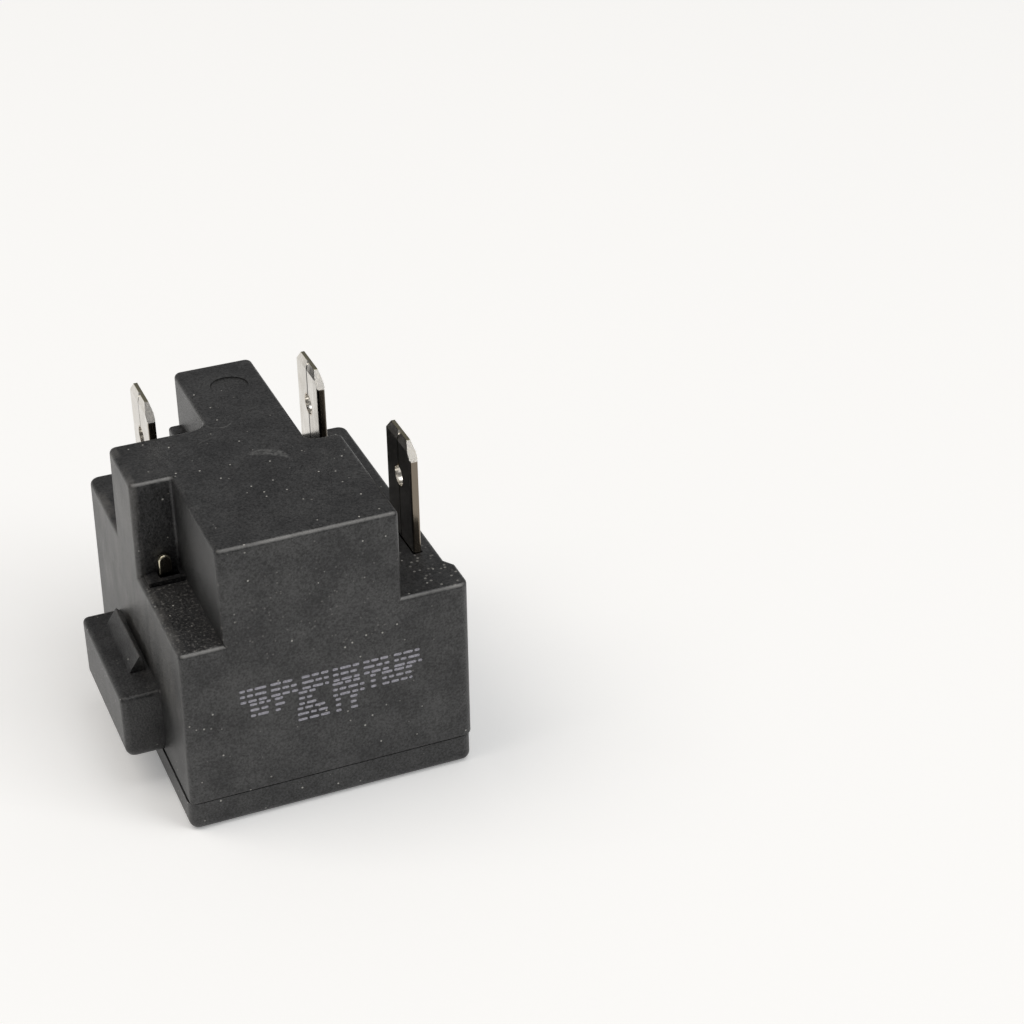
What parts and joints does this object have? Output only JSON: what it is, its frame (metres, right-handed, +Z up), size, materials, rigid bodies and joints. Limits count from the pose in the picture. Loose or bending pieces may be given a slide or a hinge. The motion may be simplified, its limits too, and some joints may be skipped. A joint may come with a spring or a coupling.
{
  "type": "compressor start relay",
  "caption": "Push-on start relay block for a refrigerator compressor: stepped black case, folded quick-connect tabs, side lug with a barb, and pin sockets in the underside.",
  "frame": {"origin": "middle of the base cover's flat underside", "axes": "+X along the front face from the notch side to the right tab, +Y from the front face to the tower, +Z up from the underside to the tab tips"},
  "size_m": [0.0309, 0.0336, 0.0311],
  "materials": {
    "case_plastic": "fine matt moulded, black",
    "cover_plastic": "fine matt moulded, black",
    "tab_metal": "tin-plated, half bright",
    "test_metal": "tin-plated, half bright",
    "socket_metal": "tin-plated, dull",
    "spring_steel": "rolled spring strip",
    "strap_brass": "plain rolled strip",
    "rivet_brass": "turned",
    "electrode_ceramic": "sintered, with metal-sprayed faces",
    "contact_steel": "rolled spring strip",
    "mica": "pressed mica sheet",
    "triac_plastic": "moulded epoxy",
    "tinned_copper": "tinned"
  },
  "bodies": {
    "root": {"housing": "case_plastic", "base_cover": "cover_plastic", "left_tab_terminal": "tab_metal", "middle_tab_terminal": "tab_metal", "right_tab_terminal": "tab_metal", "test_terminal": "test_metal", "start_pin_socket": "socket_metal", "run_pin_socket": "socket_metal", "start_socket_clip": "spring_steel", "run_socket_clip": "spring_steel", "start_strap": "strap_brass", "run_strap": "strap_brass", "left_rivet": "rivet_brass", "middle_rivet": "rivet_brass", "ptc_disc": "electrode_ceramic", "start_contact": "contact_steel", "run_contact": "contact_steel", "left_insulator": "mica", "right_insulator": "mica", "triac_body": "triac_plastic", "triac_back_plate": "tinned_copper", "triac_leads": "tinned_copper", "pilot_thermistor": "electrode_ceramic", "gate_contact": "contact_steel", "pilot_contact": "contact_steel"}
  },
  "joints": []
}
